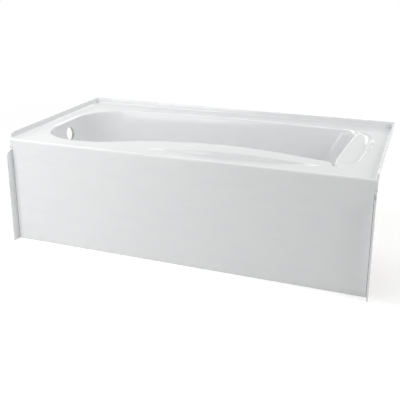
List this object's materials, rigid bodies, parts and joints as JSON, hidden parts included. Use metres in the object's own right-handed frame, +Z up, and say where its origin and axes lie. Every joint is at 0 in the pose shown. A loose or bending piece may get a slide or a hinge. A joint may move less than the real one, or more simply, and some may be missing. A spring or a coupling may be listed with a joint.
{
  "type": "alcove bathtub",
  "caption": "White one-piece alcove bathtub with integral flat apron, raised armrest, head scoop, tile flange and levelling feet",
  "frame": {"origin": "on the floor under the middle of the bath's bounding box", "axes": "+X from the drain end to the head end, +Y from the apron to the back wall, +Z up"},
  "size_m": [1.524, 0.794, 0.482],
  "materials": {
    "acrylic": "high gloss white",
    "glass_fibre": "rough resin over glass strands",
    "sawn_pine": "sawn softwood",
    "board": "pressed wood-chip board",
    "zinc_steel": "galvanised sheet",
    "stud_steel": "zinc plated",
    "foot_plastic": "moulded black"
  },
  "bodies": {
    "tub": {"tub_shell": "acrylic", "glass_fibre_backing": "glass_fibre", "overflow_ring": "glass_fibre", "drain_ring": "glass_fibre", "front_rim_batten": "sawn_pine", "back_rim_batten": "sawn_pine", "drain_rim_batten": "sawn_pine", "head_rim_batten": "sawn_pine", "apron_bottom_rail": "sawn_pine", "apron_brace_1": "sawn_pine", "apron_brace_2": "sawn_pine", "apron_brace_3": "sawn_pine", "apron_brace_4": "sawn_pine", "base_board": "board", "drain_bearer": "zinc_steel", "head_bearer": "zinc_steel", "lock_nuts": "stud_steel", "bearing_nuts": "stud_steel", "bearer_screws": "stud_steel"},
    "pad_drain_front": {"foot_pad_drain_front": "foot_plastic"},
    "stud_drain_front": {"foot_stud_drain_front": "stud_steel"},
    "pad_drain_back": {"foot_pad_drain_back": "foot_plastic"},
    "stud_drain_back": {"foot_stud_drain_back": "stud_steel"},
    "pad_head_front": {"foot_pad_head_front": "foot_plastic"},
    "stud_head_front": {"foot_stud_head_front": "stud_steel"},
    "pad_head_back": {"foot_pad_head_back": "foot_plastic"},
    "stud_head_back": {"foot_stud_head_back": "stud_steel"}
  },
  "joints": [
    {"name": "pad_travel_drain_front", "type": "slide", "parent": "tub", "child": "pad_drain_front", "axis": [0, 0, -1], "range_m": [-0.008, 0.012]},
    {"name": "stud_turn_drain_front", "type": "hinge", "parent": "pad_drain_front", "child": "stud_drain_front", "pos_m": [-0.38, -0.26044, 0.006], "axis": [0, 0, -1], "range_deg": [-1647, 2470]},
    {"name": "pad_travel_drain_back", "type": "slide", "parent": "tub", "child": "pad_drain_back", "axis": [0, 0, -1], "range_m": [-0.008, 0.012]},
    {"name": "stud_turn_drain_back", "type": "hinge", "parent": "pad_drain_back", "child": "stud_drain_back", "pos_m": [-0.38, 0.35189, 0.006], "axis": [0, 0, -1], "range_deg": [-1647, 2470]},
    {"name": "pad_travel_head_front", "type": "slide", "parent": "tub", "child": "pad_head_front", "axis": [0, 0, -1], "range_m": [-0.008, 0.012]},
    {"name": "stud_turn_head_front", "type": "hinge", "parent": "pad_head_front", "child": "stud_head_front", "pos_m": [0.216, -0.26044, 0.006], "axis": [0, 0, -1], "range_deg": [-1647, 2470]},
    {"name": "pad_travel_head_back", "type": "slide", "parent": "tub", "child": "pad_head_back", "axis": [0, 0, -1], "range_m": [-0.008, 0.012]},
    {"name": "stud_turn_head_back", "type": "hinge", "parent": "pad_head_back", "child": "stud_head_back", "pos_m": [0.216, 0.35189, 0.006], "axis": [0, 0, -1], "range_deg": [-1647, 2470]}
  ],
  "couplings": [
    {"joint": "stud_turn_drain_front", "follows": "pad_travel_drain_front", "rad_per_m": 3590.4},
    {"joint": "stud_turn_drain_back", "follows": "pad_travel_drain_back", "rad_per_m": 3590.4},
    {"joint": "stud_turn_head_front", "follows": "pad_travel_head_front", "rad_per_m": 3590.4},
    {"joint": "stud_turn_head_back", "follows": "pad_travel_head_back", "rad_per_m": 3590.4}
  ]
}
